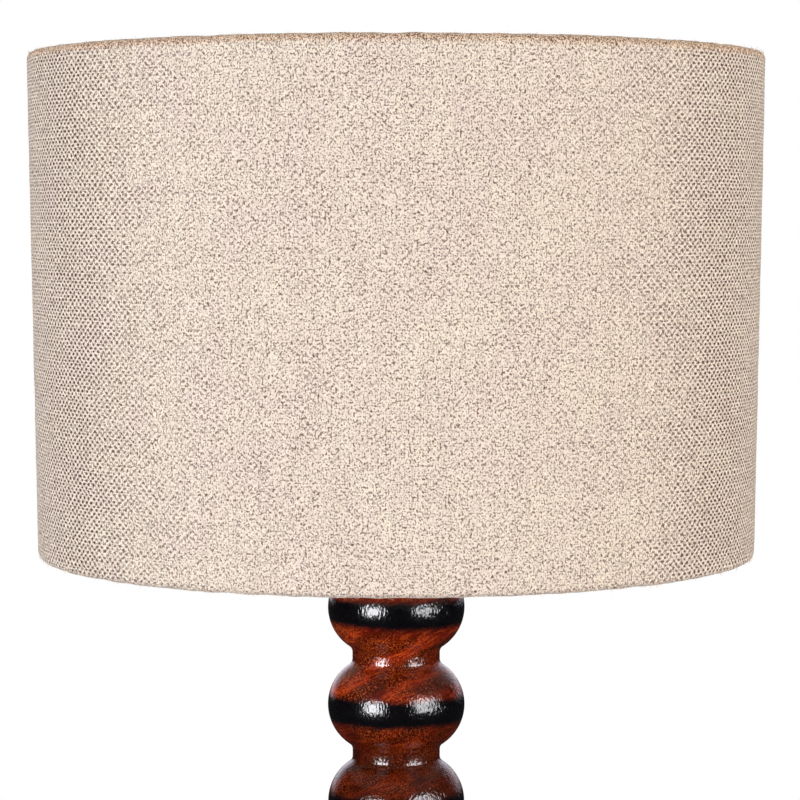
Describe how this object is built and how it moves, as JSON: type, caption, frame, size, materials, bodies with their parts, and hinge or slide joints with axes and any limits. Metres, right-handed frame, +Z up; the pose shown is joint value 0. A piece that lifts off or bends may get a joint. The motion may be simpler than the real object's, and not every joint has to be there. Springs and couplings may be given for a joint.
{
  "type": "table lamp",
  "caption": "Table lamp: turned, lacquered wooden stem of stacked round beads on a round base, a drum shade of woven fabric on a wire carrier, a lampholder with push-bar switch, and a bulb.",
  "frame": {"origin": "on the lamp's axis, in the plane the feet stand on", "axes": "+Z up along the stem, -Y the front of the lamp, +Y the back with the cord inlet, +X to the lamp's right seen from the front camera"},
  "size_m": [0.305, 0.305, 0.4581],
  "materials": {
    "lacquered_wood": "gloss lacquer over red-brown stain, with a soft-edged black band round each bead",
    "black_rubber": "matt moulded rubber",
    "zinc_steel": "zinc plated, satin",
    "yellow_brass": "polished, lightly tarnished",
    "black_phenolic": "moulded phenolic, semi-gloss",
    "white_ceramic": "glazed",
    "nickel_plate": "nickel plated",
    "black_glass": "fused black glass",
    "white_plastic": "satin",
    "opal_plastic": "diffusing opal",
    "white_painted_steel": "white powder coat",
    "styrene_liner": "smooth ivory sheet",
    "woven_jute": "coarse plain weave, cream and beige"
  },
  "bodies": {
    "stand": {"base_disc": "lacquered_wood", "turned_stem": "lacquered_wood", "foot_1": "black_rubber", "foot_2": "black_rubber", "foot_3": "black_rubber", "foot_4": "black_rubber", "foot_screw_1": "zinc_steel", "foot_screw_2": "zinc_steel", "foot_screw_3": "zinc_steel", "foot_screw_4": "zinc_steel", "cord_grommet": "black_rubber", "lamp_pipe": "zinc_steel", "base_washer": "zinc_steel", "base_nut": "zinc_steel", "stem_cap": "yellow_brass", "lock_nut": "yellow_brass", "holder_cap": "black_phenolic", "holder_grub_screw": "zinc_steel", "holder_insulator": "white_ceramic", "terminal_screw_1": "yellow_brass", "terminal_screw_2": "yellow_brass", "centre_contact": "yellow_brass", "screw_shell": "yellow_brass", "holder_sleeve": "black_phenolic", "lower_shade_ring": "black_phenolic"},
    "upper_ring": {"upper_shade_ring": "black_phenolic"},
    "switch_bar": {"switch_push_bar": "black_phenolic"},
    "bulb": {"bulb_contact": "nickel_plate", "bulb_insulator": "black_glass", "bulb_cap": "nickel_plate", "bulb_housing": "white_plastic", "bulb_globe": "opal_plastic"},
    "shade": {"carrier_washer": "white_painted_steel", "carrier_arm_1": "white_painted_steel", "carrier_arm_2": "white_painted_steel", "carrier_arm_3": "white_painted_steel", "lower_hoop": "white_painted_steel", "upper_hoop": "white_painted_steel", "shade_liner": "styrene_liner", "shade_fabric": "woven_jute"}
  },
  "joints": [
    {"name": "shade_turn", "type": "hinge", "parent": "stand", "child": "shade", "pos_m": [0, 0, 0.28127], "axis": [0, 0, 1], "continuous": true},
    {"name": "upper_ring_turn", "type": "hinge", "parent": "stand", "child": "upper_ring", "pos_m": [0, 0, 0.28482], "axis": [0, 0, 1], "continuous": true},
    {"name": "bulb_lift", "type": "slide", "parent": "stand", "child": "bulb", "axis": [0, 0, 1], "range_m": [0, 0.04]},
    {"name": "switch_push", "type": "slide", "parent": "stand", "child": "switch_bar", "axis": [1, 0, 0], "range_m": [-0.0025, 0.0025]}
  ]
}
